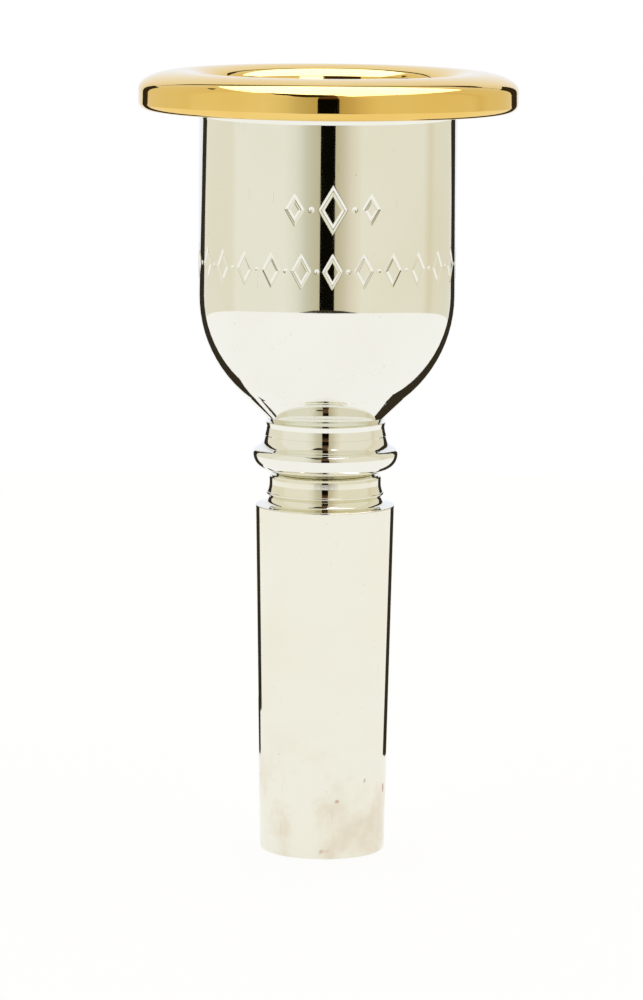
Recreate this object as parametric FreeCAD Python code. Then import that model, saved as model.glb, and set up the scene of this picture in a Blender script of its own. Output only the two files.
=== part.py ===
"""Brass mouthpiece for a large-shank trombone, turned in three pieces that screw together.

Frame: millimetres, +Z up. The origin is the centre of the shank's small end, which the
mouthpiece stands on, and +Z runs along its axis to the rim that meets the player's lips.

rim          gold-plated rim, threaded onto the cup's lip
rim_o_ring   seal in the rim, against the plain end of the cup's lip
cup          silver-plated cup, with the throat and the beaded neck
stem_o_ring  seal in the cup's stem, against the plain end of the shank's spigot
shank        silver-plated tapered shank with the backbore, threaded into the cup's stem
"""
import FreeCAD
import Part
import math
import os

# Overall size
LENGTH = 81.0
RIM_R = 19.5
CUP_R = 13.25
TIP_R = 6.5

# Rim
RIM_SEAT_Z = 77.0
RIM_CREST_R = 15.1
RIM_SHOULDER_Z = 79.1
RIM_LOWER_CORNER = 0.9
CREST_DIP = 0.092
BITE_R = 13.15
BITE_Z = 80.62
BITE_BULGE = 0.577
BITE_BULGE_RISE = 0.058
CEILING_Z = 79.87

# Cup: outside
COLLAR_R = 13.95
COLLAR_LAND = 0.1
COVE = 0.7
BOWL_Z = 58.2
BOWL_R = 14.2
BOWL_TURN = 48.0
NECK_NOTCH_R = 5.74
NECK_NOTCH_Z = 44.95
RING_R = 6.22
RING_TOP_Z = 44.95
RING_EDGE = 0.06
RING_WAIST_R = 6.13
RING_WAIST_Z = 44.4
RING_LIP_R = 6.3
RING_LIP_Z = 43.56
RING_FLARE_BOW = 0.03
BEAD_Z = 41.55
BEAD_R = 7.51
BEAD_NOSE = 0.75
BEAD_NOSE_TURN = 65.0
BEAD_HOLLOW = 1.4
BEAD_UNDER = 1.66
BEAD_BOTTOM_R = 6.2
LIP_TOP_Z = 79.83
LIP_CHAMFER = 0.15

# Cup: inside
MOUTH_R = 12.09
LIP_MOUTH_R = 12.06
MOUTH_EDGE_R = 11.8
MOUTH_EDGE_Z = 79.42
INNER_R = 11.75
INNER_BOWL_Z = 70.0
INNER_BOWL_R = 13.0
INNER_BOWL_TURN = 60.0
THROAT_ENTRY_R = 3.5
THROAT_R = 3.5

# Engraved ornament on the cup's straight wall: lozenge outlines with dots between them
ENGRAVING_DEPTH = 0.12
FRIEZE_Z = 61.6
FRIEZE_COUNT = 26
FRIEZE_W = 2.1
FRIEZE_H = 3.7
FRIEZE_STROKE = 0.42
FRIEZE_DOT_R = 0.26
MARK_Z = 67.8
MARK_TURN = -87.6
MARK_STROKE = 0.55
MARK_W = 3.0
MARK_H = 5.0
MARK_SIDE_W = 2.1
MARK_SIDE_H = 3.4
MARK_SIDE_TURN = 17.0
MARK_DOT_TURN = 9.5
MARK_DOT_R = 0.33

# Joint between cup and shank
SEAT_Z = 39.5
SEAT_R = 5.1
SEAT_GAP = 0.02
PILOT_R = 4.10
PILOT_GAP = 0.05
PILOT_Z = 44.6
SPIGOT_TOP_Z = 46.5
MOUTH_CHAMFER = 0.1
STEM_GLAND_R = 4.74
STEM_GLAND_H = 0.7

# Shank
NECK_R = 5.81
NECK_EDGE = 0.4
NECK_EDGE_Z = 39.42
NECK_FLARE_TOP_Z = 38.5
NECK_FLARE = 2.16
NECK_FLARE_TURN = 22.9
NECK_LIP = 0.16
NECK_LIP_R = 5.925
NECK_LIP_Z = 37.51
NECK_LIP_TOP_TURN = 70.0
NECK_LIP_UNDER_TURN = -50.0
SHOULDER_R = 7.2
SHOULDER_Z = 36.28
SHOULDER_EDGE = 0.15
SHOULDER_SLOPE = 8.0
SHOULDER_COVE = 0.75
SHOULDER_COVE_R = 6.6
SHOULDER_COVE_Z = 37.1
TIP_EDGE = 0.35
BACKBORE_TIP_R = 5.45
BACKBORE_START_Z = 42.0
TIP_CHAMFER = 0.2

# Threads: 60 degrees between flanks, half a pitch deep, with blunt ends
FLANK_TILT = 30.0
THREAD_DEPTH = 0.5
THREAD_CLEAR = 0.08
FLANK_CLEAR = 0.06
ROOT_BURIED = 0.08
RIM_CORE_R = 12.75
RIM_PITCH = 0.5
RIM_THREAD_Z = 77.35
RIM_MALE_TURNS = 3.25
RIM_FEMALE_TURNS = 2.75
STEM_CORE_R = 4.15
STEM_PITCH = 0.8
STEM_THREAD_Z = 40.35
STEM_TURNS = 3.75

# Seals
O_RING_SECTION_R = 0.25
SEAL_CLEAR = 0.03
RIM_GLAND_R = 13.32
RIM_GLAND_H = 0.6

Z_AXIS = FreeCAD.Vector(0, 0, 1)
ORIGIN = FreeCAD.Vector(0, 0, 0)


def at(radius, height):
    """A point of the half section, on the XZ plane."""
    return FreeCAD.Vector(radius, 0, height)


class Section:
    """A half section drawn edge by edge, then turned into a solid of revolution."""

    def __init__(self, radius, height):
        self.start = at(radius, height)
        self.here = self.start
        self.edges = []

    def line(self, radius, height):
        end = at(radius, height)
        self.edges.append(Part.LineSegment(self.here, end).toShape())
        self.here = end

    def arc(self, centre_r, centre_z, radius, start_deg, end_deg):
        """An arc about a centre, from the present point's angle to end_deg."""
        points = []
        for degrees in (start_deg, (start_deg + end_deg) / 2, end_deg):
            turn = math.radians(degrees)
            points.append(at(centre_r + radius * math.cos(turn), centre_z + radius * math.sin(turn)))
        points[0] = self.here
        self.edges.append(Part.Arc(*points).toShape())
        self.here = points[2]

    def through(self, mid_r, mid_z, radius, height):
        """An arc through a middle point to an end point."""
        end = at(radius, height)
        self.edges.append(Part.Arc(self.here, at(mid_r, mid_z), end).toShape())
        self.here = end

    def crown(self, centre_r, centre_z, half_width, half_height):
        """The outer quarter of a flat ellipse, from its side up to its top."""
        ellipse = Part.Ellipse(at(centre_r, centre_z), half_width, half_height)
        ellipse.Axis = FreeCAD.Vector(0, -1, 0)
        ellipse.XAxis = FreeCAD.Vector(1, 0, 0)
        self.edges.append(Part.ArcOfEllipse(ellipse, 0, math.pi / 2).toShape())
        self.here = at(centre_r, centre_z + half_height)

    def turn(self):
        self.line(self.start.x, self.start.z)
        face = Part.Face(Part.Wire(self.edges))
        return face.revolve(ORIGIN, Z_AXIS, 360)


class Thread:
    """A screw thread: a ridge on a round core, and the matching ridge inside a bore."""

    def __init__(self, core_r, pitch, height_z):
        self.core_r = core_r
        self.pitch = pitch
        self.height_z = height_z
        self.depth = pitch * THREAD_DEPTH
        self.bore_r = core_r + self.depth + THREAD_CLEAR

    def male(self, turns):
        return self.ridge(self.core_r, 1, self.height_z, turns)

    def female(self, turns):
        return self.ridge(self.bore_r, -1, self.height_z + self.pitch / 2, turns)

    def ridge(self, wall_r, side, height_z, turns):
        """A ridge that stands outwards (side 1) or inwards (side -1) from a round wall."""
        slope = math.tan(math.radians(FLANK_TILT))
        overlap = self.depth - THREAD_CLEAR
        pitch_half = (self.pitch / 2 - FLANK_CLEAR + overlap * slope) / 2
        root_half = pitch_half + THREAD_CLEAR * slope
        crest_half = root_half - self.depth * slope
        buried_half = root_half + ROOT_BURIED * slope
        buried_r = wall_r - side * ROOT_BURIED
        crest_r = wall_r + side * self.depth
        corners = [at(buried_r, height_z - buried_half), at(crest_r, height_z - crest_half),
                   at(crest_r, height_z + crest_half), at(buried_r, height_z + buried_half)]
        profile = Part.makePolygon(corners + corners[:1])
        helix = Part.makeHelix(self.pitch, self.pitch * turns, wall_r)
        helix.translate(FreeCAD.Vector(0, 0, height_z))
        return Part.Wire(helix.Edges).makePipeShell([profile], True, True)


RIM_THREAD = Thread(RIM_CORE_R, RIM_PITCH, RIM_THREAD_Z)
STEM_THREAD = Thread(STEM_CORE_R, STEM_PITCH, STEM_THREAD_Z)


def joined(solid, *ridges):
    """The one solid that a turned body and its thread ridges make."""
    return solid.fuse(list(ridges)).Solids[0]


def make_rim():
    bore_r = RIM_THREAD.bore_r
    underside = RIM_SEAT_Z + SEAT_GAP
    corner_z = underside + RIM_LOWER_CORNER
    mouth = bore_r + MOUTH_CHAMFER
    body = Section(mouth, underside)
    body.line(RIM_R - RIM_LOWER_CORNER, underside)
    body.arc(RIM_R - RIM_LOWER_CORNER, corner_z, RIM_LOWER_CORNER, -90, 0)
    body.line(RIM_R, RIM_SHOULDER_Z)
    body.crown(RIM_CREST_R, RIM_SHOULDER_Z, RIM_R - RIM_CREST_R, LENGTH - RIM_SHOULDER_Z)
    body.through((RIM_CREST_R + BITE_R) / 2, LENGTH - CREST_DIP, BITE_R, BITE_Z)
    bulge_z = (BITE_Z + CEILING_Z) / 2 + BITE_BULGE_RISE
    body.through(BITE_R - BITE_BULGE, bulge_z, MOUTH_R, CEILING_Z)
    body.line(RIM_GLAND_R, CEILING_Z)
    body.line(RIM_GLAND_R, CEILING_Z - RIM_GLAND_H)
    body.line(bore_r, CEILING_Z - RIM_GLAND_H)
    body.line(bore_r, underside + MOUTH_CHAMFER)
    return joined(body.turn(), RIM_THREAD.female(RIM_FEMALE_TURNS))


def lozenge(half_w, half_h, inset):
    """A lozenge on a plane across +X, drawn inside its outline by the inset."""
    to_side = half_w * half_h / math.hypot(half_w, half_h)
    size = 1 - inset / to_side
    corners = ((half_w, 0), (0, half_h), (-half_w, 0), (0, -half_h), (half_w, 0))
    outline = Part.makePolygon([FreeCAD.Vector(0, y * size, z * size) for y, z in corners])
    return Part.Face(Part.Wire(outline.Edges))


def place_tool(face, turn_deg, height_z):
    """A face's cutting tool, aimed at the axis from a direction around the cup."""
    tool = face.extrude(FreeCAD.Vector(CUP_R, 0, 0))
    tool.translate(FreeCAD.Vector(CUP_R / 2, 0, height_z))
    tool.rotate(ORIGIN, Z_AXIS, turn_deg)
    return tool


def lozenge_tool(width, height, stroke, turn_deg, height_z):
    middle = lozenge(width / 2, height / 2, stroke)
    frame = lozenge(width / 2, height / 2, 0).cut(middle)
    return place_tool(frame.Faces[0], turn_deg, height_z)


def dot_tool(radius, turn_deg, height_z):
    circle = Part.makeCircle(radius, ORIGIN, FreeCAD.Vector(1, 0, 0))
    return place_tool(Part.Face(Part.Wire(circle)), turn_deg, height_z)


def make_engraving():
    """The metal that the engraving takes out of the cup's wall."""
    tools = []
    step = 360 / FRIEZE_COUNT
    for index in range(FRIEZE_COUNT):
        turn_deg = MARK_TURN + index * step
        tools.append(lozenge_tool(FRIEZE_W, FRIEZE_H, FRIEZE_STROKE, turn_deg, FRIEZE_Z))
        tools.append(dot_tool(FRIEZE_DOT_R, turn_deg + step / 2, FRIEZE_Z))
    tools.append(lozenge_tool(MARK_W, MARK_H, MARK_STROKE, MARK_TURN, MARK_Z))
    for side in (-1, 1):
        side_turn = MARK_TURN + side * MARK_SIDE_TURN
        dot_turn = MARK_TURN + side * MARK_DOT_TURN
        tools.append(lozenge_tool(MARK_SIDE_W, MARK_SIDE_H, MARK_STROKE,
                                  side_turn, MARK_Z))
        tools.append(dot_tool(MARK_DOT_R, dot_turn, MARK_Z))
    bottom = FreeCAD.Vector(0, 0, FRIEZE_Z - FRIEZE_H)
    height = MARK_Z + MARK_H - bottom.z
    outside = Part.makeCylinder(CUP_R * 2, height, bottom)
    floor = Part.makeCylinder(CUP_R - ENGRAVING_DEPTH, height, bottom)
    return Part.makeCompound(tools).common(outside.cut(floor))


def make_cup():
    bore_r = STEM_THREAD.bore_r
    bottom = SEAT_Z + SEAT_GAP
    body = Section(bore_r + MOUTH_CHAMFER, bottom)
    body.line(SEAT_R, bottom)

    # Bead, from its sloping underside round the nose
    under_r = BEAD_R - BEAD_UNDER
    under_turn = -math.degrees(math.acos((BEAD_BOTTOM_R - under_r) / BEAD_UNDER))
    body.line(BEAD_BOTTOM_R, BEAD_Z + BEAD_UNDER * math.sin(math.radians(under_turn)))
    body.arc(under_r, BEAD_Z, BEAD_UNDER, under_turn, 0)
    nose_turn = math.radians(BEAD_NOSE_TURN)
    hollow_r = BEAD_R - BEAD_NOSE + (BEAD_NOSE + BEAD_HOLLOW) * math.cos(nose_turn)
    hollow_z = BEAD_Z + (BEAD_NOSE + BEAD_HOLLOW) * math.sin(nose_turn)
    body.arc(BEAD_R - BEAD_NOSE, BEAD_Z, BEAD_NOSE, 0, BEAD_NOSE_TURN)
    body.arc(hollow_r, hollow_z, BEAD_HOLLOW, 180 + BEAD_NOSE_TURN, 180)

    # Ring above the bead, waisted between its lip and its top edge
    body.line(RING_LIP_R, RING_LIP_Z)
    flare_r = (RING_LIP_R + RING_WAIST_R) / 2 - RING_FLARE_BOW
    body.through(flare_r, (RING_LIP_Z + RING_WAIST_Z) / 2, RING_WAIST_R, RING_WAIST_Z)
    body.line(RING_R, RING_TOP_Z - RING_EDGE)
    body.arc(RING_R - RING_EDGE, RING_TOP_Z - RING_EDGE, RING_EDGE, 0, 90)
    body.line(NECK_NOTCH_R, NECK_NOTCH_Z)

    # Bowl, straight wall, and the cove under the collar that the rim sits on
    bowl_centre_r = CUP_R - BOWL_R
    turn = math.radians(BOWL_TURN)
    body.line(bowl_centre_r + BOWL_R * math.cos(turn), BOWL_Z - BOWL_R * math.sin(turn))
    body.arc(bowl_centre_r, BOWL_Z, BOWL_R, -BOWL_TURN, 0)
    cove_z = RIM_SEAT_Z - COLLAR_LAND - COVE
    body.line(CUP_R, cove_z)
    body.arc(CUP_R + COVE, cove_z, COVE, 180, 90)
    body.line(COLLAR_R, RIM_SEAT_Z)

    # Threaded lip
    body.line(RIM_CORE_R, RIM_SEAT_Z)
    body.line(RIM_CORE_R, LIP_TOP_Z - LIP_CHAMFER)
    body.line(RIM_CORE_R - LIP_CHAMFER, LIP_TOP_Z)
    body.line(LIP_MOUTH_R, LIP_TOP_Z)

    # Inside: eased mouth, wall, bowl, throat, then the bored stem
    body.line(MOUTH_EDGE_R, MOUTH_EDGE_Z)
    body.line(INNER_R, INNER_BOWL_Z)
    body.arc(INNER_R - INNER_BOWL_R, INNER_BOWL_Z, INNER_BOWL_R, 0, -INNER_BOWL_TURN)
    entry_z = body.here.z - THROAT_ENTRY_R * math.sin(math.radians(INNER_BOWL_TURN))
    body.arc(THROAT_R + THROAT_ENTRY_R, entry_z, THROAT_ENTRY_R, 180 - INNER_BOWL_TURN, 180)
    ceiling = SPIGOT_TOP_Z + SEAT_GAP
    pilot_bore_r = PILOT_R + PILOT_GAP
    body.line(THROAT_R, ceiling)
    body.line(STEM_GLAND_R, ceiling)
    body.line(STEM_GLAND_R, ceiling - STEM_GLAND_H)
    body.line(pilot_bore_r, ceiling - STEM_GLAND_H)
    body.line(pilot_bore_r, PILOT_Z)
    body.line(bore_r, PILOT_Z - (bore_r - pilot_bore_r))
    body.line(bore_r, bottom + MOUTH_CHAMFER)

    engraved = body.turn().cut(make_engraving())
    return joined(engraved, RIM_THREAD.male(RIM_MALE_TURNS), STEM_THREAD.female(STEM_TURNS))


def make_shank():
    body = Section(BACKBORE_TIP_R + TIP_CHAMFER, 0)
    body.line(TIP_R - TIP_EDGE, 0)
    body.arc(TIP_R - TIP_EDGE, TIP_EDGE, TIP_EDGE, -90, 0)

    # Long taper up to the shoulder, then the lipped and flared neck and the seat for the cup
    body.line(SHOULDER_R, SHOULDER_Z - SHOULDER_EDGE)
    edge_turn = 90 - SHOULDER_SLOPE
    body.arc(SHOULDER_R - SHOULDER_EDGE, SHOULDER_Z - SHOULDER_EDGE, SHOULDER_EDGE, 0, edge_turn)
    cove_turn = math.radians(180 + edge_turn)
    body.line(SHOULDER_COVE_R + SHOULDER_COVE * math.cos(cove_turn),
              SHOULDER_COVE_Z + SHOULDER_COVE * math.sin(cove_turn))
    body.arc(SHOULDER_COVE_R, SHOULDER_COVE_Z, SHOULDER_COVE, 180 + edge_turn, 180)
    lip_turn = math.radians(NECK_LIP_UNDER_TURN)
    body.line(NECK_LIP_R + NECK_LIP * math.cos(lip_turn), NECK_LIP_Z + NECK_LIP * math.sin(lip_turn))
    body.arc(NECK_LIP_R, NECK_LIP_Z, NECK_LIP, NECK_LIP_UNDER_TURN, NECK_LIP_TOP_TURN)
    flare_r = NECK_R + NECK_FLARE
    body.arc(flare_r, NECK_FLARE_TOP_Z, NECK_FLARE, 180 + NECK_FLARE_TURN, 180)
    body.line(NECK_R, NECK_EDGE_Z - NECK_EDGE)
    body.arc(NECK_R - NECK_EDGE, NECK_EDGE_Z - NECK_EDGE, NECK_EDGE, 0, 90)
    body.line(SEAT_R, SEAT_Z)

    # Threaded spigot with a plain pilot above the thread
    body.line(STEM_CORE_R, SEAT_Z)
    body.line(STEM_CORE_R, PILOT_Z - PILOT_GAP * 2)
    body.line(PILOT_R, PILOT_Z - PILOT_GAP)
    body.line(PILOT_R, SPIGOT_TOP_Z - LIP_CHAMFER)
    body.line(PILOT_R - LIP_CHAMFER, SPIGOT_TOP_Z)
    body.line(THROAT_R, SPIGOT_TOP_Z)
    body.line(THROAT_R, BACKBORE_START_Z)
    body.line(BACKBORE_TIP_R, TIP_CHAMFER)
    return joined(body.turn(), STEM_THREAD.male(STEM_TURNS))


def make_o_ring(inner_r, height_z):
    centre_r = inner_r + O_RING_SECTION_R
    return Part.makeTorus(centre_r, O_RING_SECTION_R, FreeCAD.Vector(0, 0, height_z), Z_AXIS)


def make_parts():
    return {
        "rim": make_rim(),
        "rim_o_ring": make_o_ring(RIM_CORE_R + SEAL_CLEAR, CEILING_Z - RIM_GLAND_H / 2),
        "cup": make_cup(),
        "stem_o_ring": make_o_ring(PILOT_R + SEAL_CLEAR, SPIGOT_TOP_Z + SEAT_GAP - STEM_GLAND_H / 2),
        "shank": make_shank(),
    }


os.makedirs("parts", exist_ok=True)
for node, shape in make_parts().items():
    shape.exportStep("parts/" + node + ".step")
    print(node, shape.ShapeType, len(shape.Solids), shape.isValid(), round(shape.Volume, 2))
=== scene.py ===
"""Looks of the trombone mouthpiece: turned silver and gold pieces, their finishes, and the studio."""
import bpy
import math
import numpy as np
from mathutils import Euler, Matrix, Vector


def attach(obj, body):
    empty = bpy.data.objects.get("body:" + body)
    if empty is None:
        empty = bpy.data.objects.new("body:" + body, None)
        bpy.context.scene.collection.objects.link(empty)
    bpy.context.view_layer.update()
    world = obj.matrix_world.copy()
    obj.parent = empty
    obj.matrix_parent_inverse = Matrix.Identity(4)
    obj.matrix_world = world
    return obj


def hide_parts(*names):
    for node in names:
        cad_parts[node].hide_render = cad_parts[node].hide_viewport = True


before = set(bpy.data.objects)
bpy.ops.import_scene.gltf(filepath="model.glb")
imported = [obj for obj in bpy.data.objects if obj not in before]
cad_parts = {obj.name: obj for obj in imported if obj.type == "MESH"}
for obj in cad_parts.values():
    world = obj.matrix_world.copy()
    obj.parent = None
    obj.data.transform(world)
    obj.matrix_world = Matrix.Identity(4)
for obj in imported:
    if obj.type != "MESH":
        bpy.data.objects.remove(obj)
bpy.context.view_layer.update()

MM = 0.001

# Mesh fineness: columns round the axis, how many of the engraving's columns fit in one of them, the rows
# of each run with relief, and the step in millimetres that finds a relief's slope
COLUMNS = 234
FINER = 4
FINE_COLUMNS = COLUMNS * FINER
ARC_STEP = math.radians(4)
CROWN_ROWS = 48
FRIEZE_ROWS = 44
MARK_ROWS = 56
RIM_BORE_ROWS = 52
LIP_ROWS = 60
STEM_BORE_ROWS = 60
SPIGOT_ROWS = 70
NUDGE = 1e-3

# Engraving
ENGRAVING_DEPTH = 0.12
FRIEZE_Z = 61.6
FRIEZE_COUNT = 26
FRIEZE_W = 2.1
FRIEZE_H = 3.7
FRIEZE_STROKE = 0.42
FRIEZE_DOT_R = 0.26
MARK_Z = 67.8
MARK_TURN = math.radians(-87.6)
MARK_STROKE = 0.55
MARK_W = 3.0
MARK_H = 5.0
MARK_SIDE_W = 2.1
MARK_SIDE_H = 3.4
MARK_SIDE_TURN = math.radians(17.0)
MARK_DOT_TURN = math.radians(9.5)
MARK_DOT_R = 0.33

# Threads
FLANK_SLOPE = math.tan(math.radians(30.0))
THREAD_CLEAR = 0.08
FLANK_CLEAR = 0.06


class Turning:
    """A half section drawn in millimetres run by run, solid on its left, then turned round +Z.

    Each run carries its own true normals, so that polished faces reflect without facets.
    """

    def __init__(self, radius, height):
        self.start = (radius, height)
        self.here = self.start
        self.runs = []

    def add(self, stations, relief=None, sector=None):
        self.runs.append((np.array(stations, float), relief, sector))
        self.here = tuple(stations[-1][:2])

    def line(self, radius, height, rows=1, relief=None, sector=None):
        r0, z0 = self.here
        length = math.hypot(radius - r0, height - z0)
        normal = ((height - z0) / length, (r0 - radius) / length)
        steps = [i / rows for i in range(rows + 1)]
        stations = [(r0 + (radius - r0) * t, z0 + (height - z0) * t, *normal) for t in steps]
        self.add(stations, relief, sector)

    def arc(self, centre_r, centre_z, radius, start_deg, end_deg):
        """An arc about a centre; it bulges out of the solid when it turns to the left."""
        start, end = math.radians(start_deg), math.radians(end_deg)
        rows = max(2, math.ceil(abs(end - start) / ARC_STEP))
        side = 1 if end > start else -1
        stations = []
        for i in range(rows + 1):
            turn = start + (end - start) * i / rows
            r, z = centre_r + radius * math.cos(turn), centre_z + radius * math.sin(turn)
            stations.append((r, z, side * math.cos(turn), side * math.sin(turn)))
        stations[0] = (*self.here, *stations[0][2:])
        self.add(stations)

    def through(self, mid_r, mid_z, radius, height):
        """An arc through a middle point to an end point."""
        (r0, z0), (r1, z1), (r2, z2) = self.here, (mid_r, mid_z), (radius, height)
        d = 2 * (r0 * (z1 - z2) + r1 * (z2 - z0) + r2 * (z0 - z1))
        s0, s1, s2 = r0 * r0 + z0 * z0, r1 * r1 + z1 * z1, r2 * r2 + z2 * z2
        cr = (s0 * (z1 - z2) + s1 * (z2 - z0) + s2 * (z0 - z1)) / d
        cz = (s0 * (r2 - r1) + s1 * (r0 - r2) + s2 * (r1 - r0)) / d
        start = math.degrees(math.atan2(z0 - cz, r0 - cr))
        end = math.degrees(math.atan2(z2 - cz, r2 - cr))
        cross = (r1 - r0) * (z2 - z1) - (z1 - z0) * (r2 - r1)
        if cross > 0 and end < start:
            end += 360
        if cross < 0 and end > start:
            end -= 360
        self.arc(cr, cz, math.hypot(r0 - cr, z0 - cz), start, end)

    def crown(self, centre_r, centre_z, half_width, half_height):
        """The outer quarter of a flat ellipse, from its side up to its top."""
        stations = []
        for i in range(CROWN_ROWS + 1):
            turn = math.pi / 2 * i / CROWN_ROWS
            normal = Vector((math.cos(turn) / half_width, math.sin(turn) / half_height)).normalized()
            stations.append((centre_r + half_width * math.cos(turn),
                             centre_z + half_height * math.sin(turn), *normal))
        self.add(stations)

    def columns_of(self, sector):
        """The columns that a row has: all the coarse ones, and every fine one in its sector."""
        columns = np.arange(0, FINE_COLUMNS, FINER)
        if sector is None:
            return columns
        middle, half = sector
        fine = np.arange(FINE_COLUMNS)
        away = (fine * 2 * math.pi / FINE_COLUMNS - middle + math.pi) % (2 * math.pi) - math.pi
        return np.union1d(columns, fine[np.abs(away) <= half])

    def mesh(self, name):
        points, faces, normals = [], [], []
        count = 0
        first_row = None
        last_row = None
        for index, (stations, relief, sector) in enumerate(self.runs):
            rows = []
            for place, (r, z, nr, nz) in enumerate(stations):
                inner = 0 < place < len(stations) - 1
                columns = self.columns_of(sector if inner else None)
                turn = columns * 2 * math.pi / FINE_COLUMNS
                shift = np.zeros(len(columns))
                slope_turn, slope_z = shift, shift
                if relief is not None and inner:
                    shift = relief(turn, z)
                    slope_turn = (relief(turn + NUDGE / r, z) - relief(turn - NUDGE / r, z)) / (2 * NUDGE)
                    slope_z = (relief(turn, z + NUDGE) - relief(turn, z - NUDGE)) / (2 * NUDGE) * nr
                cos, sin = np.cos(turn), np.sin(turn)
                radial = nr + nz * slope_z
                axial = nz - nr * slope_z
                normal = np.stack([radial * cos + slope_turn * sin,
                                   radial * sin - slope_turn * cos, axial], axis=1)
                normal /= np.linalg.norm(normal, axis=1)[:, None]
                if place == 0 and last_row is not None:
                    ids = last_row
                elif index == len(self.runs) - 1 and place == len(stations) - 1:
                    ids = first_row
                else:
                    ids = count + np.arange(len(columns))
                    count += len(columns)
                    out_r, out_z = r + shift * nr, z + shift * nz
                    points.append(np.stack([out_r * cos, out_r * sin, out_z + 0 * cos], axis=1))
                if first_row is None:
                    first_row = ids
                rows.append((columns, ids, normal))
            last_row = rows[-1][1]
            for low, high in zip(rows, rows[1:]):
                self.stitch(low, high, faces, normals)
        mesh = bpy.data.meshes.new(name)
        mesh.from_pydata(np.concatenate(points) * MM, [], faces)
        mesh.polygons.foreach_set("use_smooth", [True] * len(faces))
        mesh.normals_split_custom_set(normals)
        return mesh

    @staticmethod
    def stitch(low, high, faces, normals):
        """Faces between two rows; where one row has more columns, each face takes them all in."""
        shared = np.intersect1d(low[0], high[0])
        low_at = np.searchsorted(low[0], shared)
        high_at = np.searchsorted(high[0], shared)
        for k in range(len(shared)):
            after = (k + 1) % len(shared)
            corners, sides = [], []
            for (columns, ids, normal), place, flip in ((low, low_at, False), (high, high_at, True)):
                start = place[k]
                end = place[after] if after else len(columns)
                run = [i % len(columns) for i in range(start, end + 1)]
                if flip:
                    run.reverse()
                corners += [int(ids[i]) for i in run]
                sides += [normal[i] for i in run]
            faces.append(corners)
            normals.extend(sides)


def groove(distance, half_width):
    """How deep a rounded groove is at a distance from its middle line, as a share of its depth."""
    share = np.clip(distance / half_width, 0, 1)
    return (1 - share**2) ** 2


def lozenge_groove(across, up, width, height, stroke):
    half_w, half_h = width / 2, height / 2
    to_side = half_w * half_h / math.hypot(half_w, half_h)
    inside = 1 - stroke / 2 / to_side
    distance = np.abs(np.abs(across) / half_w + np.abs(up) / half_h - inside) * to_side
    return groove(distance, stroke / 2)


def turned_from(turn, middle):
    return (turn - middle + math.pi) % (2 * math.pi) - math.pi


def frieze_relief(turn, z):
    pitch = 2 * math.pi / FRIEZE_COUNT
    across = turned_from((turn - MARK_TURN) / pitch * 2 * math.pi, 0) / (2 * math.pi) * pitch * CUP_R
    up = z - FRIEZE_Z
    depth = lozenge_groove(across, up, FRIEZE_W, FRIEZE_H, FRIEZE_STROKE)
    from_dot = np.hypot(np.abs(across) - pitch * CUP_R / 2, up)
    return -ENGRAVING_DEPTH * np.maximum(depth, groove(from_dot, FRIEZE_DOT_R))


def mark_relief(turn, z):
    up = z - MARK_Z
    across = turned_from(turn, MARK_TURN) * CUP_R
    depth = lozenge_groove(across, up, MARK_W, MARK_H, MARK_STROKE)
    for side in (-1, 1):
        beside = turned_from(turn, MARK_TURN + side * MARK_SIDE_TURN) * CUP_R
        depth = np.maximum(depth, lozenge_groove(beside, up, MARK_SIDE_W, MARK_SIDE_H, MARK_STROKE))
        from_dot = np.hypot(turned_from(turn, MARK_TURN + side * MARK_DOT_TURN) * CUP_R, up)
        depth = np.maximum(depth, groove(from_dot, MARK_DOT_R))
    return -ENGRAVING_DEPTH * depth


def thread_relief(pitch, start_z, turns):
    """A screw thread's ridge, half a pitch high, standing out of a wall."""
    depth = pitch / 2
    pitch_half = (pitch / 2 - FLANK_CLEAR + (depth - THREAD_CLEAR) * FLANK_SLOPE) / 2
    root_half = pitch_half + THREAD_CLEAR * FLANK_SLOPE

    def relief(turn, z):
        share = (turn % (2 * math.pi)) / (2 * math.pi)
        lap = np.round((z - start_z) / pitch - share)
        along = share + lap
        distance = np.abs(z - start_z - pitch * along)
        height = np.clip((root_half - distance) / FLANK_SLOPE, 0, depth)
        return np.where((along >= 0) & (along <= turns), height, 0)
    return relief


# Sizes of the pieces, in millimetres, and their turns in degrees
LENGTH = 81.0
TIP_R = 6.5
TIP_EDGE = 0.35
TIP_CHAMFER = 0.2
MOUTH_CHAMFER = 0.1

# Rim
RIM_R = 19.5
RIM_SEAT_Z = 77.0
RIM_CREST_R = 15.1
RIM_SHOULDER_Z = 79.1
RIM_LOWER_CORNER = 0.9
CREST_DIP = 0.092
BITE_R = 13.15
BITE_Z = 80.62
BITE_BULGE = 0.577
BITE_BULGE_RISE = 0.058
CEILING_Z = 79.87
MOUTH_R = 12.09
RIM_GLAND_R = 13.32
RIM_GLAND_H = 0.6
RIM_CORE_R = 12.75
RIM_BORE_R = 13.08
RIM_PITCH = 0.5
RIM_THREAD_Z = 77.35
RIM_MALE_TURNS = 3.25
RIM_FEMALE_TURNS = 2.75

# Cup, outside
CUP_R = 13.25
COLLAR_R = 13.95
COLLAR_LAND = 0.1
COVE = 0.7
FRIEZE_BAND = (59.6, 63.6)
MARK_BAND = (65.2, 70.4)
MARK_SECTOR = math.radians(24)
BOWL_Z = 58.2
BOWL_R = 14.2
BOWL_TURN = 48
RING_NOTCH_R = 5.74
RING_R = 6.22
RING_TOP_Z = 44.95
RING_EDGE = 0.06
RING_WAIST_R = 6.13
RING_WAIST_Z = 44.4
RING_LIP_R = 6.3
RING_LIP_Z = 43.56
RING_FLARE_BOW = 0.03
BEAD_R = 7.51
BEAD_Z = 41.55
BEAD_NOSE = 0.75
BEAD_NOSE_TURN = 65
BEAD_HOLLOW = 1.4
BEAD_UNDER = 1.66
BEAD_BOTTOM_R = 6.2

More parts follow.
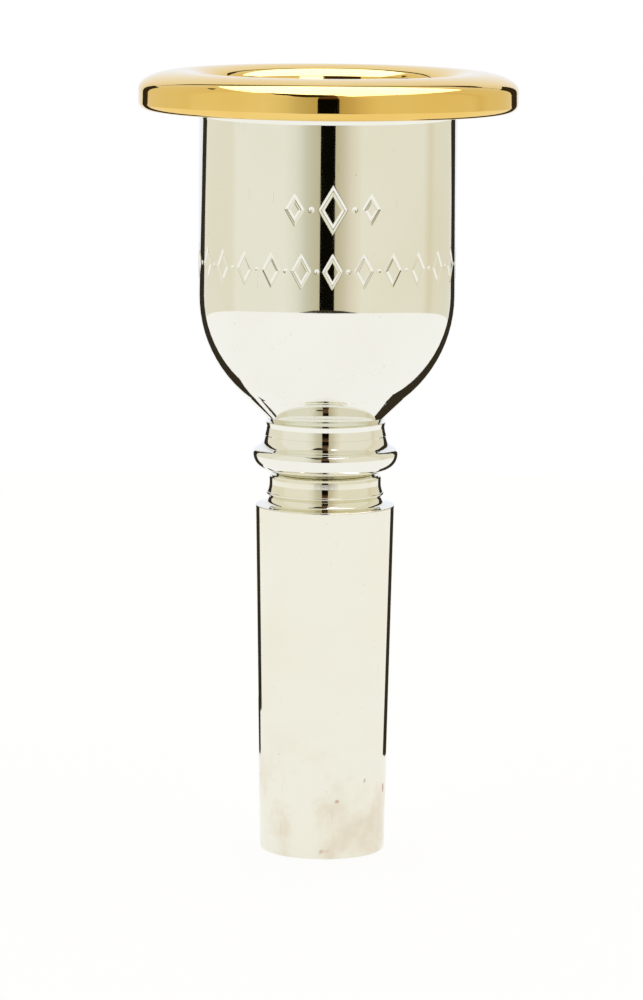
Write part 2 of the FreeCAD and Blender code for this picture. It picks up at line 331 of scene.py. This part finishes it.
# Cup, lip and inside
LIP_TOP_Z = 79.83
LIP_CHAMFER = 0.15
LIP_MOUTH_R = 12.06
MOUTH_EDGE_R = 11.8
MOUTH_EDGE_Z = 79.42
INNER_R = 11.75
INNER_BOWL_Z = 70.0
INNER_BOWL_R = 13.0
INNER_BOWL_TURN = 60
THROAT_ENTRY_R = 3.5
THROAT_R = 3.5

# Joint between stem and shank
SEAT_Z = 39.5
SEAT_R = 5.1
SEAT_GAP = 0.02
STEM_CORE_R = 4.15
STEM_CORE_TOP_Z = 44.5
STEM_BORE_R = 4.63
STEM_PITCH = 0.8
STEM_THREAD_Z = 40.35
STEM_TURNS = 3.75
STEM_GLAND_R = 4.74
STEM_GLAND_H = 0.7
PILOT_R = 4.10
PILOT_BORE_R = 4.15
PILOT_Z = 44.6
SPIGOT_TOP_Z = 46.5

# Shank
NECK_R = 5.81
NECK_EDGE = 0.4
NECK_EDGE_Z = 39.42
NECK_FLARE = 2.16
NECK_FLARE_TOP_Z = 38.5
NECK_FLARE_TURN = 22.9
NECK_LIP = 0.16
NECK_LIP_R = 5.925
NECK_LIP_Z = 37.51
NECK_LIP_TOP_TURN = 70
NECK_LIP_UNDER_TURN = -50
SHOULDER_R = 7.2
SHOULDER_Z = 36.28
SHOULDER_EDGE = 0.15
SHOULDER_SLOPE = 8
SHOULDER_COVE = 0.75
SHOULDER_COVE_R = 6.6
SHOULDER_COVE_Z = 37.1
BACKBORE_TIP_R = 5.45
BACKBORE_START_Z = 42.0


def on_circle(centre_r, centre_z, radius, degrees):
    """A place on a circle of the half section."""
    turn = math.radians(degrees)
    return centre_r + radius * math.cos(turn), centre_z + radius * math.sin(turn)


def make_rim():
    under = RIM_SEAT_Z + SEAT_GAP
    body = Turning(RIM_BORE_R + MOUTH_CHAMFER, under)
    body.line(RIM_R - RIM_LOWER_CORNER, under)
    body.arc(RIM_R - RIM_LOWER_CORNER, under + RIM_LOWER_CORNER, RIM_LOWER_CORNER, -90, 0)
    body.line(RIM_R, RIM_SHOULDER_Z)
    body.crown(RIM_CREST_R, RIM_SHOULDER_Z, RIM_R - RIM_CREST_R, LENGTH - RIM_SHOULDER_Z)
    body.through((RIM_CREST_R + BITE_R) / 2, LENGTH - CREST_DIP, BITE_R, BITE_Z)
    bulge_z = (BITE_Z + CEILING_Z) / 2 + BITE_BULGE_RISE
    body.through(BITE_R - BITE_BULGE, bulge_z, MOUTH_R, CEILING_Z)
    body.line(RIM_GLAND_R, CEILING_Z)
    body.line(RIM_GLAND_R, CEILING_Z - RIM_GLAND_H)
    body.line(RIM_BORE_R, CEILING_Z - RIM_GLAND_H)
    body.line(RIM_BORE_R, under + MOUTH_CHAMFER, RIM_BORE_ROWS,
              thread_relief(RIM_PITCH, RIM_THREAD_Z + RIM_PITCH / 2, RIM_FEMALE_TURNS))
    body.line(RIM_BORE_R + MOUTH_CHAMFER, under)
    return body.mesh("turned_rim")


def make_cup():
    bottom = SEAT_Z + SEAT_GAP
    body = Turning(STEM_BORE_R + MOUTH_CHAMFER, bottom)
    body.line(SEAT_R, bottom)

    # Bead
    under_r = BEAD_R - BEAD_UNDER
    under_turn = -math.degrees(math.acos((BEAD_BOTTOM_R - under_r) / BEAD_UNDER))
    body.line(*on_circle(under_r, BEAD_Z, BEAD_UNDER, under_turn))
    body.arc(under_r, BEAD_Z, BEAD_UNDER, under_turn, 0)
    nose_r = BEAD_R - BEAD_NOSE
    body.arc(nose_r, BEAD_Z, BEAD_NOSE, 0, BEAD_NOSE_TURN)
    hollow = on_circle(nose_r, BEAD_Z, BEAD_NOSE + BEAD_HOLLOW, BEAD_NOSE_TURN)
    body.arc(*hollow, BEAD_HOLLOW, 180 + BEAD_NOSE_TURN, 180)

    # Ring
    body.line(RING_LIP_R, RING_LIP_Z)
    body.through((RING_LIP_R + RING_WAIST_R) / 2 - RING_FLARE_BOW, (RING_LIP_Z + RING_WAIST_Z) / 2,
                 RING_WAIST_R, RING_WAIST_Z)
    body.line(RING_R, RING_TOP_Z - RING_EDGE)
    body.arc(RING_R - RING_EDGE, RING_TOP_Z - RING_EDGE, RING_EDGE, 0, 90)
    body.line(RING_NOTCH_R, RING_TOP_Z)

    # Bowl, engraved wall, cove and collar
    bowl_centre_r = CUP_R - BOWL_R
    body.line(*on_circle(bowl_centre_r, BOWL_Z, BOWL_R, -BOWL_TURN))
    body.arc(bowl_centre_r, BOWL_Z, BOWL_R, -BOWL_TURN, 0)
    body.line(CUP_R, FRIEZE_BAND[0])
    body.line(CUP_R, FRIEZE_BAND[1], FRIEZE_ROWS, frieze_relief, (0, math.pi))
    body.line(CUP_R, MARK_BAND[0])
    body.line(CUP_R, MARK_BAND[1], MARK_ROWS, mark_relief, (MARK_TURN, MARK_SECTOR))
    cove_z = RIM_SEAT_Z - COLLAR_LAND - COVE
    body.line(CUP_R, cove_z)
    body.arc(COLLAR_R, cove_z, COVE, 180, 90)
    body.line(COLLAR_R, RIM_SEAT_Z)

    # Threaded lip
    body.line(RIM_CORE_R, RIM_SEAT_Z)
    body.line(RIM_CORE_R, LIP_TOP_Z - LIP_CHAMFER, LIP_ROWS,
              thread_relief(RIM_PITCH, RIM_THREAD_Z, RIM_MALE_TURNS))
    body.line(RIM_CORE_R - LIP_CHAMFER, LIP_TOP_Z)
    body.line(LIP_MOUTH_R, LIP_TOP_Z)

    # Inside
    body.line(MOUTH_EDGE_R, MOUTH_EDGE_Z)
    body.line(INNER_R, INNER_BOWL_Z)
    body.arc(INNER_R - INNER_BOWL_R, INNER_BOWL_Z, INNER_BOWL_R, 0, -INNER_BOWL_TURN)
    entry_z = body.here[1] - THROAT_ENTRY_R * math.sin(math.radians(INNER_BOWL_TURN))
    body.arc(THROAT_R + THROAT_ENTRY_R, entry_z, THROAT_ENTRY_R, 180 - INNER_BOWL_TURN, 180)
    ceiling = SPIGOT_TOP_Z + SEAT_GAP
    body.line(THROAT_R, ceiling)
    body.line(STEM_GLAND_R, ceiling)
    body.line(STEM_GLAND_R, ceiling - STEM_GLAND_H)
    body.line(PILOT_BORE_R, ceiling - STEM_GLAND_H)
    body.line(PILOT_BORE_R, PILOT_Z)
    body.line(STEM_BORE_R, PILOT_Z - (STEM_BORE_R - PILOT_BORE_R))
    body.line(STEM_BORE_R, bottom + MOUTH_CHAMFER, STEM_BORE_ROWS,
              thread_relief(STEM_PITCH, STEM_THREAD_Z + STEM_PITCH / 2, STEM_TURNS))
    body.line(STEM_BORE_R + MOUTH_CHAMFER, bottom)
    return body.mesh("turned_cup")


def make_shank():
    body = Turning(BACKBORE_TIP_R + TIP_CHAMFER, 0)
    body.line(TIP_R - TIP_EDGE, 0)
    body.arc(TIP_R - TIP_EDGE, TIP_EDGE, TIP_EDGE, -90, 0)

    # Shoulder and its cove
    body.line(SHOULDER_R, SHOULDER_Z - SHOULDER_EDGE)
    body.arc(SHOULDER_R - SHOULDER_EDGE, SHOULDER_Z - SHOULDER_EDGE, SHOULDER_EDGE, 0, 90 - SHOULDER_SLOPE)
    body.line(*on_circle(SHOULDER_COVE_R, SHOULDER_COVE_Z, SHOULDER_COVE, 270 - SHOULDER_SLOPE))
    body.arc(SHOULDER_COVE_R, SHOULDER_COVE_Z, SHOULDER_COVE, 270 - SHOULDER_SLOPE, 180)

    # Neck
    body.line(*on_circle(NECK_LIP_R, NECK_LIP_Z, NECK_LIP, NECK_LIP_UNDER_TURN))
    body.arc(NECK_LIP_R, NECK_LIP_Z, NECK_LIP, NECK_LIP_UNDER_TURN, NECK_LIP_TOP_TURN)
    body.arc(NECK_R + NECK_FLARE, NECK_FLARE_TOP_Z, NECK_FLARE, 180 + NECK_FLARE_TURN, 180)
    body.line(NECK_R, NECK_EDGE_Z - NECK_EDGE)
    body.arc(NECK_R - NECK_EDGE, NECK_EDGE_Z - NECK_EDGE, NECK_EDGE, 0, 90)
    body.line(SEAT_R, SEAT_Z)

    # Threaded spigot and its pilot
    body.line(STEM_CORE_R, SEAT_Z)
    body.line(STEM_CORE_R, STEM_CORE_TOP_Z, SPIGOT_ROWS, thread_relief(STEM_PITCH, STEM_THREAD_Z, STEM_TURNS))
    body.line(PILOT_R, STEM_CORE_TOP_Z + (STEM_CORE_R - PILOT_R))
    body.line(PILOT_R, SPIGOT_TOP_Z - LIP_CHAMFER)
    body.line(PILOT_R - LIP_CHAMFER, SPIGOT_TOP_Z)

    # Backbore
    body.line(THROAT_R, SPIGOT_TOP_Z)
    body.line(THROAT_R, BACKBORE_START_Z)
    body.line(BACKBORE_TIP_R, TIP_CHAMFER)
    body.line(BACKBORE_TIP_R + TIP_CHAMFER, 0)
    return body.mesh("turned_shank")


class Nodes:
    """Short calls that build a material's nodes."""

    def __init__(self, tree):
        self.tree = tree

    def new(self, kind, **settings):
        node = self.tree.nodes.new(kind)
        for key, value in settings.items():
            setattr(node, key, value)
        return node

    def feed(self, socket, value):
        if isinstance(value, bpy.types.NodeSocket):
            self.tree.links.new(value, socket)
        else:
            socket.default_value = value

    def math(self, operation, *values):
        node = self.new("ShaderNodeMath", operation=operation)
        for socket, value in zip(node.inputs, values):
            self.feed(socket, value)
        return node.outputs[0]

    def mix(self, factor, first, second):
        node = self.new("ShaderNodeMix", data_type="RGBA")
        self.feed(node.inputs[0], factor)
        self.feed(node.inputs[6], first)
        self.feed(node.inputs[7], second)
        return node.outputs[2]

    def span(self, value, low, high, to_low=0.0, to_high=1.0, kind="SMOOTHSTEP"):
        node = self.new("ShaderNodeMapRange", interpolation_type=kind)
        for socket, number in zip(node.inputs, (value, low, high, to_low, to_high)):
            self.feed(socket, number)
        return node.outputs[0]

    def noise(self, vector, scale, detail=2.0, roughness=0.5):
        node = self.new("ShaderNodeTexNoise")
        self.feed(node.inputs["Vector"], vector)
        node.inputs["Scale"].default_value = scale
        node.inputs["Detail"].default_value = detail
        node.inputs["Roughness"].default_value = roughness
        return node.outputs[0]

    def stretch(self, vector, scale):
        node = self.new("ShaderNodeMapping")
        self.feed(node.inputs[0], vector)
        node.inputs["Scale"].default_value = scale
        return node.outputs[0]

    def bump(self, height, distance, strength=1.0, normal=None):
        node = self.new("ShaderNodeBump")
        node.inputs["Strength"].default_value = strength
        node.inputs["Distance"].default_value = distance
        self.feed(node.inputs["Height"], height)
        if normal is not None:
            self.feed(node.inputs["Normal"], normal)
        return node.outputs[0]


def new_material(name):
    material = bpy.data.materials.new(name)
    material.use_nodes = True
    nodes = Nodes(material.node_tree)
    shader = material.node_tree.nodes["Principled BSDF"]
    place = nodes.new("ShaderNodeTexCoord").outputs["Object"]
    return material, nodes, shader, place


SILVER = (0.89, 0.885, 0.825, 1)
SILVER_WARM = (0.875, 0.864, 0.787, 1)
SILVER_WORN = (0.868, 0.85, 0.745, 1)
SILVER_WORN_WARM = (0.848, 0.818, 0.69, 1)
TARNISH = (0.66, 0.53, 0.37, 1)
SPOT = (0.36, 0.12, 0.06, 1)
GOLD = (0.886, 0.62, 0.19, 1)
GOLD_DEEP = (0.865, 0.58, 0.16, 1)
WEAR = (0.56, 0.5, 0.38, 1)

RUBBER = (0.012, 0.012, 0.012, 1)
RUBBER_PALE = (0.03, 0.03, 0.029, 1)

# The gold of the rim washes over the cup's lip, down to this height in metres
WASH_Z = 0.0793

# Patterns: how fine each noise is, and the span of it that shows
DRIFT, DRIFT_SPAN = 90, (0.42, 0.72)
HAZE, HAZE_SPAN, HAZE_ROUGHNESS = 260, (0.3, 0.75), (0.028, 0.062)
HAIR, HAIR_SPAN, HAIR_STRETCH = 5200, (0.655, 0.73), (1, 1, 0.035)
PATCH, PATCH_SPAN = 330, (0.56, 0.7)
PIT, PIT_SPAN = 2300, (0.775, 0.82)
MARK_SHADE, MARK_ROUGHNESS, MARK_BUMP, MARK_BUMP_STRENGTH = 0.42, 0.14, 8e-7, 0.5
WAVE, WAVE_BUMP = 70, 3e-7
STAIN, STAIN_SPAN, STAIN_FADE_Z = 150, (0.44, 0.66), (0.003, 0.016)
STAIN_SHADE, STAIN_ROUGHNESS = 0.42, 0.09
SPOTS, SPOTS_SPAN, SPOTS_FADE_Z, SPOTS_SHADE = 520, (0.735, 0.79), (0.006, 0.012), 0.75
SPECK, SPECK_SPAN, SPECK_GLOSS_SPAN, SPECK_ROUGHNESS = 4000, (0.3, 0.8), (0.2, 0.8), (0.45, 0.7)
SPECK_BUMP, SPECK_BUMP_STRENGTH = 1e-5, 0.5


def plated(name, clean, aged, tarnished=False, washed=False):
    """Mirror-polished plating: colour drift, buffing haze, hair scratches and a few pits."""
    material, nodes, shader, place = new_material(name)
    drift = nodes.span(nodes.noise(place, DRIFT, 3), *DRIFT_SPAN)
    colour = nodes.mix(drift, clean, aged)
    height = nodes.new("ShaderNodeSeparateXYZ")
    nodes.feed(height.inputs[0], place)
    if washed:
        lip = nodes.math("GREATER_THAN", height.outputs[2], WASH_Z)
        colour = nodes.mix(lip, colour, nodes.mix(drift, GOLD, GOLD_DEEP))
    roughness = nodes.span(nodes.noise(place, HAZE, 4), *HAZE_SPAN, *HAZE_ROUGHNESS)

    # Hair scratches, most of them along the piece
    hair = nodes.noise(nodes.stretch(place, HAIR_STRETCH), HAIR, 1)
    patch = nodes.span(nodes.noise(place, PATCH, 2), *PATCH_SPAN)
    scratch = nodes.math("MULTIPLY", nodes.span(hair, *HAIR_SPAN), patch)
    pit = nodes.span(nodes.noise(place, PIT, 1), *PIT_SPAN)
    mark = nodes.math("MAXIMUM", scratch, pit)
    colour = nodes.mix(nodes.math("MULTIPLY", mark, MARK_SHADE), colour, WEAR)
    roughness = nodes.math("ADD", roughness, nodes.math("MULTIPLY", mark, MARK_ROUGHNESS))
    if tarnished:
        low = nodes.span(height.outputs[2], *STAIN_FADE_Z, 1.0, 0.0)
        cloud = nodes.span(nodes.noise(place, STAIN, 4, 0.6), *STAIN_SPAN)
        stain = nodes.math("MULTIPLY", low, cloud)
        colour = nodes.mix(nodes.math("MULTIPLY", stain, STAIN_SHADE), colour, TARNISH)
        spots = nodes.span(nodes.noise(place, SPOTS, 1), *SPOTS_SPAN)
        spots = nodes.math("MULTIPLY", spots, nodes.span(height.outputs[2], *SPOTS_FADE_Z, 1.0, 0.0))
        colour = nodes.mix(nodes.math("MULTIPLY", spots, SPOTS_SHADE), colour, SPOT)
        roughness = nodes.math("ADD", roughness, nodes.math("MULTIPLY", stain, STAIN_ROUGHNESS))
    nodes.feed(shader.inputs["Base Color"], colour)
    nodes.feed(shader.inputs["Roughness"], roughness)
    shader.inputs["Metallic"].default_value = 1.0
    wave = nodes.bump(nodes.noise(place, WAVE, 1), WAVE_BUMP)
    nodes.feed(shader.inputs["Normal"], nodes.bump(mark, MARK_BUMP, MARK_BUMP_STRENGTH, wave))
    return material


def rubber():
    material, nodes, shader, place = new_material("seal_rubber")
    speck = nodes.noise(place, SPECK, 3)
    nodes.feed(shader.inputs["Base Color"], nodes.mix(nodes.span(speck, *SPECK_SPAN), RUBBER, RUBBER_PALE))
    nodes.feed(shader.inputs["Roughness"], nodes.span(speck, *SPECK_GLOSS_SPAN, *SPECK_ROUGHNESS))
    nodes.feed(shader.inputs["Normal"], nodes.bump(speck, SPECK_BUMP, SPECK_BUMP_STRENGTH))
    return material


silver = plated("silver_plate", SILVER, SILVER_WARM, washed=True)
silver_shank = plated("silver_plate_worn", SILVER_WORN, SILVER_WORN_WARM, tarnished=True)
gold = plated("gold_plate", GOLD, GOLD_DEEP)
seal = rubber()

for maker, body, material, slot in ((make_rim, "rim", gold, "gold_plate"),
                                    (make_cup, "cup", silver, "silver_plate"),
                                    (make_shank, "shank", silver_shank, "silver_plate")):
    mesh = maker()
    mesh.materials.append(material)
    piece = bpy.data.objects.new(mesh.name, mesh)
    bpy.context.scene.collection.objects.link(piece)
    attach(piece, body)
    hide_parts(body)

for name in ("rim_o_ring", "stem_o_ring"):
    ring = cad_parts[name]
    ring.data.materials.clear()
    ring.data.materials.append(seal)
    ring.data.polygons.foreach_set("use_smooth", [True] * len(ring.data.polygons))


# Studio
FLOOR_R = 0.29
FLOOR_SIDES = 96
FLOOR_TONE = (0.16, 0.16, 0.16, 1)
FLOOR_ROUGHNESS = 0.9
FLOOR_GLOW = 0.87
CARD_TONE = (0.034, 0.026, 0.015)
SOFTBOX_TONE = (0.82, 0.80, 1.0)
SOFTBOX_STRENGTH = 4.05
SLIT_TONE = (0.003, 0.0025, 0.001, 1)
SLIT_UPPER_TONE = (0.12, 0.062, 0.03, 1)


def add_stage(name, corners, faces, material, seen):
    mesh = bpy.data.meshes.new(name)
    mesh.from_pydata(corners, [], faces)
    mesh.materials.append(material)
    thing = bpy.data.objects.new(name, mesh)
    bpy.context.scene.collection.objects.link(thing)
    if not seen:
        thing.visible_camera = False
        thing.visible_diffuse = False
        thing.visible_shadow = False
        thing.visible_transmission = False


def glow(name, colour, strength):
    material = bpy.data.materials.new(name)
    material.use_nodes = True
    nodes = Nodes(material.node_tree)
    material.node_tree.nodes.clear()
    light = nodes.new("ShaderNodeEmission")
    light.inputs["Color"].default_value = (*colour, 1)
    light.inputs["Strength"].default_value = strength
    out = nodes.new("ShaderNodeOutputMaterial")
    nodes.feed(out.inputs["Surface"], light.outputs[0])
    return material


def floor_material():
    material, _, shader, _ = new_material("pale_floor")
    shader.inputs["Base Color"].default_value = FLOOR_TONE
    shader.inputs["Roughness"].default_value = FLOOR_ROUGHNESS
    shader.inputs["Specular IOR Level"].default_value = 0.0
    shader.inputs["Emission Color"].default_value = (1, 1, 1, 1)
    shader.inputs["Emission Strength"].default_value = FLOOR_GLOW
    return material


def around(degrees, distance, height):
    """A place by its direction from the axis, in degrees to the right of straight in front."""
    turn = math.radians(degrees)
    return (distance * math.sin(turn), -distance * math.cos(turn), height)


def toward(degrees, elevation):
    """A place on the sphere round the mouthpiece's upper part where the overhead cards are."""
    lift = math.radians(elevation)
    return around(degrees, SPHERE_R * math.cos(lift), SPHERE_R * math.sin(lift) + SPHERE_Z)


def ribbon(name, pairs, material):
    """A card made of the quadrilaterals between successive pairs of points."""
    corners = [corner for pair in pairs for corner in pair]
    faces = [(2 * i, 2 * i + 2, 2 * i + 3, 2 * i + 1) for i in range(len(pairs) - 1)]
    add_stage(name, corners, faces, material, False)


rim_of_floor = [around(360 * i / FLOOR_SIDES, FLOOR_R, 0) for i in range(FLOOR_SIDES)]
add_stage("floor", rim_of_floor, [tuple(range(FLOOR_SIDES))], floor_material(), True)

dark = glow("dark_card", CARD_TONE, 1.0)
softbox = glow("softbox", SOFTBOX_TONE, SOFTBOX_STRENGTH)

# Overhead softbox: left and right edge, from back to front
SOFTBOX_Z = 0.88
SOFTBOX = ((0.60, -0.36, 0.56), (0.40, -0.39, 0.56), (0.25, -0.41, 0.56), (0.08, -0.41, 0.53),
           (-0.03, -0.40, 0.51), (-0.155, -0.27, 0.45), (-0.28, -0.14, 0.37), (-0.345, 0.0, 0.33),
           (-0.44, 0.09, 0.28), (-0.56, 0.16, 0.21))
ribbon("softbox_card", [((left, y, SOFTBOX_Z), (right, y, SOFTBOX_Z)) for y, left, right in SOFTBOX], softbox)

# Dark flags that stand behind the mouthpiece, with their feet set in towards it: height, distance, then
# the inner and outer edges in degrees from straight behind
FLAG_LEFT = ((0.0, 0.078, 23, 45), (0.040, 0.078, 24, 45), (0.052, 0.078, 29, 46), (0.062, 0.078, 36, 48),
             (0.078, 0.078, 43, 54), (0.110, 0.078, 44, 55))
FOOT_LEFT = ((0.0, 0.052, 23, 39), (0.0065, 0.052, 23, 40))
FLAG_RIGHT = ((0.0, 0.052, 24, 48), (0.012, 0.078, 20, 44), (0.040, 0.078, 20, 42),
              (0.052, 0.078, 26, 42.5), (0.062, 0.078, 30, 43.5), (0.078, 0.078, 35, 50),
              (0.110, 0.078, 36, 51))
for name, levels, side in (("flag_left", FLAG_LEFT, 1), ("foot_left", FOOT_LEFT, 1),
                           ("flag_right", FLAG_RIGHT, -1)):
    ribbon(name, [(around(side * (180 + inner), distance, z), around(side * (180 + outer), distance, z))
                  for z, distance, inner, outer in levels], dark)

# Dark gaps overhead: direction in degrees to the right of straight in front, then lower and upper edge
SPHERE_R = 0.85
SPHERE_Z = 0.07
FRONT_GAP = ((-78, 65.5, 66), (-60, 64, 68.5), (-47, 58, 67.5), (-33, 54, 66.5), (-24, 44, 66),
             (-15, 38, 66), (-6, 40, 67), (6, 60, 67))
BACK_GAP = ((-143, 17, 18.5), (-147, 27, 29), (-151, 33.5, 38), (-156, 37.5, 45), (-160, 42, 49),
            (-165, 45, 49.3), (-172, 46.5, 49.7), (-178, 48, 51), (-184, 47.5, 50.5), (-189, 45.5, 49),
            (-194, 43.5, 47.5), (-198, 38, 44.5), (-202, 34, 41), (-207, 33.5, 39.5), (-210, 33.5, 36),
            (-214, 26, 27.5), (-217, 18, 19))
SIDE_GAP = ((-120, 51.5, 52), (-127, 50.3, 53), (-134, 49.5, 52.5))
for name, stations in (("front_gap", FRONT_GAP), ("back_gap", BACK_GAP), ("side_gap", SIDE_GAP)):
    ribbon(name, [(toward(turn, low), toward(turn, high)) for turn, low, high in stations], dark)

# Dark sliver along the floor's front edge: direction, then its near and far edge
SLIVER_Z = 0.0005
EDGE_GAP = ((-24, 0.290, 0.291), (-12, 0.285, 0.34), (0, 0.282, 0.37), (14, 0.285, 0.34), (28, 0.290, 0.291))
ribbon("edge_gap", [(around(turn, near, SLIVER_Z), around(turn, far, SLIVER_Z))
                    for turn, near, far in EDGE_GAP], dark)

# Walls round the object, by direction: degrees to the right of straight in front, and their glow
WALLS = ((-180, (0.93, 0.97, 1.06)), (-163, (0.93, 0.96, 1.04)), (-150, (0.87, 0.88, 0.92)),
         (-137, (0.83, 0.80, 0.68)), (-95, (0.83, 0.80, 0.66)), (-88, (0.88, 0.868, 0.764)),
         (-39, (0.88, 0.868, 0.764)), (-30, (0.82, 0.81, 0.69)), (-25, (0.77, 0.745, 0.63)),
         (-19, (0.65, 0.63, 0.507)), (-14, (0.605, 0.575, 0.42)), (-7, (0.56, 0.51, 0.36)),
         (7, (0.56, 0.50, 0.34)), (14, (0.635, 0.582, 0.427)), (20, (0.755, 0.69, 0.56)),
         (25, (0.805, 0.767, 0.61)), (31, (0.86, 0.83, 0.70)), (95, (0.84, 0.81, 0.68)),
         (104, (0.77, 0.696, 0.533)), (112, (0.804, 0.767, 0.616)), (137, (0.804, 0.767, 0.64)),
         (150, (0.85, 0.85, 0.86)), (163, (0.92, 0.95, 1.03)), (180, (0.93, 0.97, 1.06)))

# Dark slit straight in front: half its width, its top, and where its tone turns, all in degrees
SLIT_HALF = 6.5
SLIT_TOP = 67
SLIT_TURN = (12, 34)


def make_world():
    """White where the camera sees it; in reflections, the walls' glow and the slit."""
    world = bpy.data.worlds.new("studio")
    bpy.context.scene.world = world
    world.use_nodes = True
    tree = world.node_tree
    tree.nodes.clear()
    nodes = Nodes(tree)
    direction = nodes.new("ShaderNodeTexCoord").outputs["Generated"]
    parts = nodes.new("ShaderNodeSeparateXYZ")
    nodes.feed(parts.inputs[0], direction)
    x, y, z = parts.outputs
    back = nodes.math("MULTIPLY", y, -1.0)
    azimuth = nodes.math("DEGREES", nodes.math("ARCTAN2", x, back))
    elevation = nodes.math("DEGREES", nodes.math("ARCSINE", z))
    ramp = nodes.new("ShaderNodeValToRGB")
    ramp.color_ramp.interpolation = "LINEAR"
    elements = ramp.color_ramp.elements
    while len(elements) > 1:
        elements.remove(elements[-1])
    for index, (degrees, colour) in enumerate(WALLS):
        position = (degrees + 180) / 360
        element = elements[0] if index == 0 else elements.new(position)
        element.position = position
        element.color = (*colour, 1)
    nodes.feed(ramp.inputs[0], nodes.span(azimuth, -180, 180, kind="LINEAR"))
    colour = ramp.outputs[0]
    across = nodes.math("ABSOLUTE", azimuth)
    in_slit = nodes.math("MULTIPLY", nodes.math("LESS_THAN", across, SLIT_HALF),
                         nodes.math("LESS_THAN", elevation, SLIT_TOP))
    slit = nodes.mix(nodes.span(elevation, *SLIT_TURN), SLIT_TONE, SLIT_UPPER_TONE)
    colour = nodes.mix(in_slit, colour, slit)
    seen = nodes.new("ShaderNodeBackground")
    seen.inputs["Color"].default_value = (1, 1, 1, 1)
    glow_node = nodes.new("ShaderNodeBackground")
    nodes.feed(glow_node.inputs["Color"], colour)
    pick = nodes.new("ShaderNodeMixShader")
    nodes.feed(pick.inputs[0], nodes.new("ShaderNodeLightPath").outputs["Is Camera Ray"])
    nodes.feed(pick.inputs[1], glow_node.outputs[0])
    nodes.feed(pick.inputs[2], seen.outputs[0])
    out = nodes.new("ShaderNodeOutputWorld")
    nodes.feed(out.inputs["Surface"], pick.outputs[0])


make_world()

CAMERA_PLACE = (-0.00035, -0.4955, 0.107)
CAMERA_PITCH = math.radians(8.08)
CAMERA_ROLL = math.radians(0.52)
CAMERA_LENS = 173.84
CAMERA_SENSOR = 36
camera_data = bpy.data.cameras.new("camera")
camera_data.lens = CAMERA_LENS
camera_data.sensor_width = CAMERA_SENSOR
camera = bpy.data.objects.new("camera", camera_data)
turn = Euler((math.pi / 2 - CAMERA_PITCH, 0, 0)).to_matrix() @ Matrix.Rotation(CAMERA_ROLL, 3, "Z")
camera.matrix_world = Matrix.Translation(CAMERA_PLACE) @ turn.to_4x4()
bpy.context.scene.collection.objects.link(camera)
bpy.context.scene.camera = camera
bpy.context.scene.view_settings.view_transform = "Standard"
